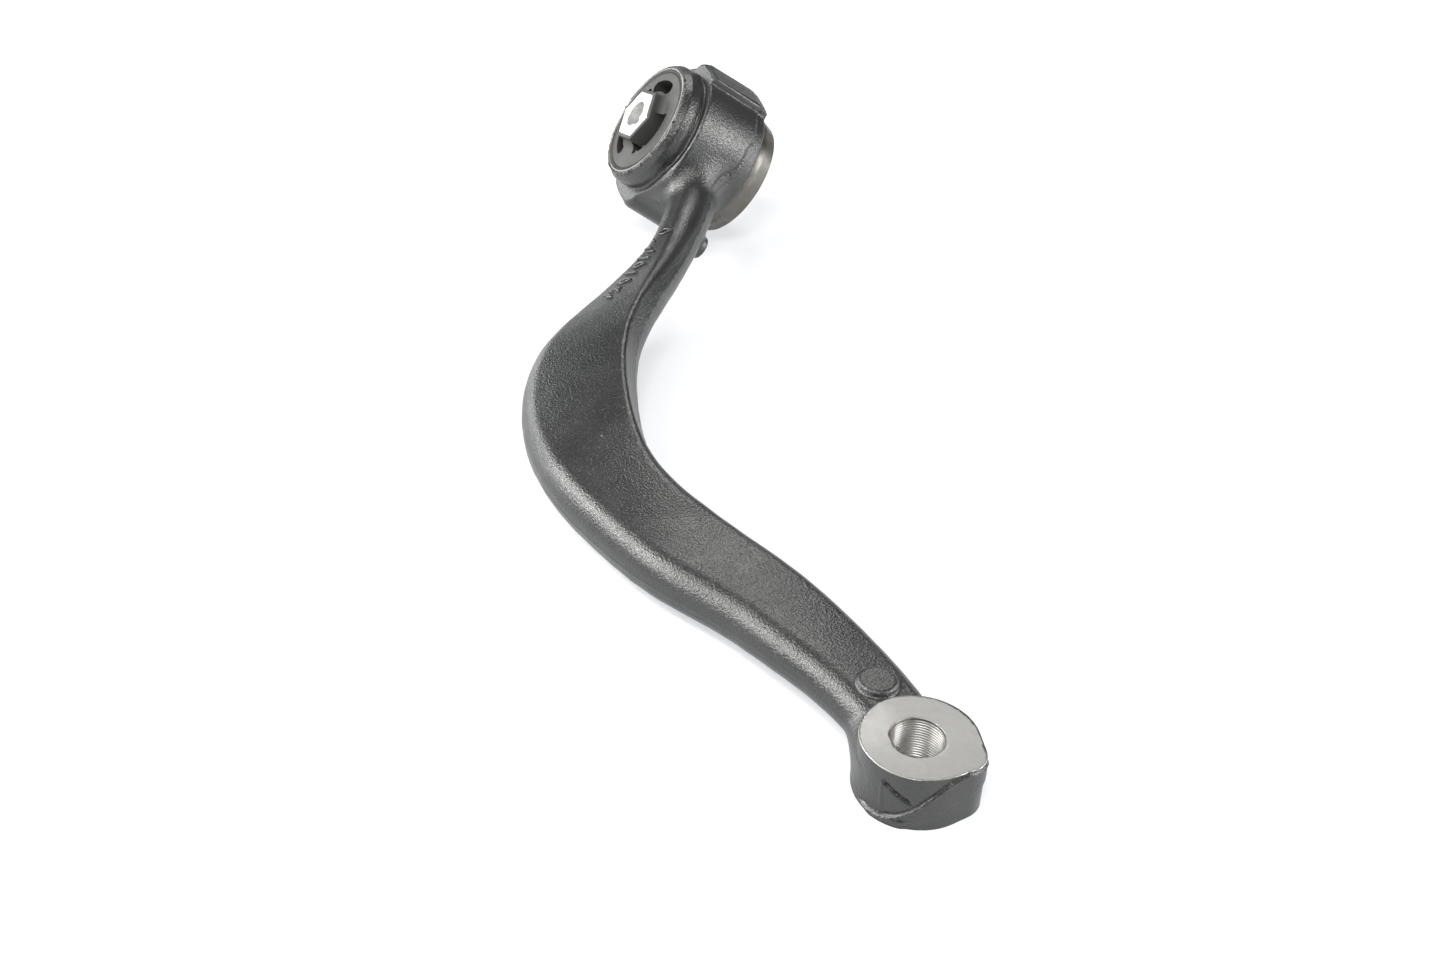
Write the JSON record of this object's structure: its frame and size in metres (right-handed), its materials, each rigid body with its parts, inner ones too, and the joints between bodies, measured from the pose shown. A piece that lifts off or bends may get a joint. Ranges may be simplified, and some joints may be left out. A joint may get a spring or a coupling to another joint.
{
  "type": "control arm",
  "caption": "Forged suspension control arm: a bowed, twisted bar with a plain stud eye at one end and a tilted barrel holding a hydraulic rubber bush with a hexagonal core.",
  "frame": {"origin": "middle of the stud bore, on its axis", "axes": "+Z along the stud bore, upwards; +Y in plan towards the bush, along the arm's length; +X to the right seen from the stud eye"},
  "size_m": [0.1714, 0.5291, 0.0954],
  "materials": {
    "forging_ecoat": "satin black coating over a shot-blasted forging",
    "sleeve_steel": "bare drawn steel, lightly stained",
    "cage_steel": "stamped steel",
    "bush_rubber": "matt moulded rubber",
    "core_alloy": "extruded, sawn ends",
    "track_plastic": "glass-filled nylon",
    "damping_fluid": "glycol mixture"
  },
  "bodies": {
    "arm": {"arm_forging": "forging_ecoat", "bush_outer_sleeve": "sleeve_steel", "bush_window_cage": "cage_steel", "bush_rubber_spring": "bush_rubber", "track_shell_near": "track_plastic", "track_shell_far": "track_plastic", "damping_fluid_near": "damping_fluid", "damping_fluid_far": "damping_fluid"},
    "core": {"bush_inner_core": "core_alloy"}
  },
  "joints": [
    {"name": "bush_torsion", "type": "hinge", "parent": "arm", "child": "core", "pos_m": [0, 0.4605, 0.035], "axis": [-0.8121, 0, 0.5835], "range_deg": [-20, 20], "stiffness_Nm_per_rad": 90, "deforming": ["bush_rubber_spring"]}
  ]
}
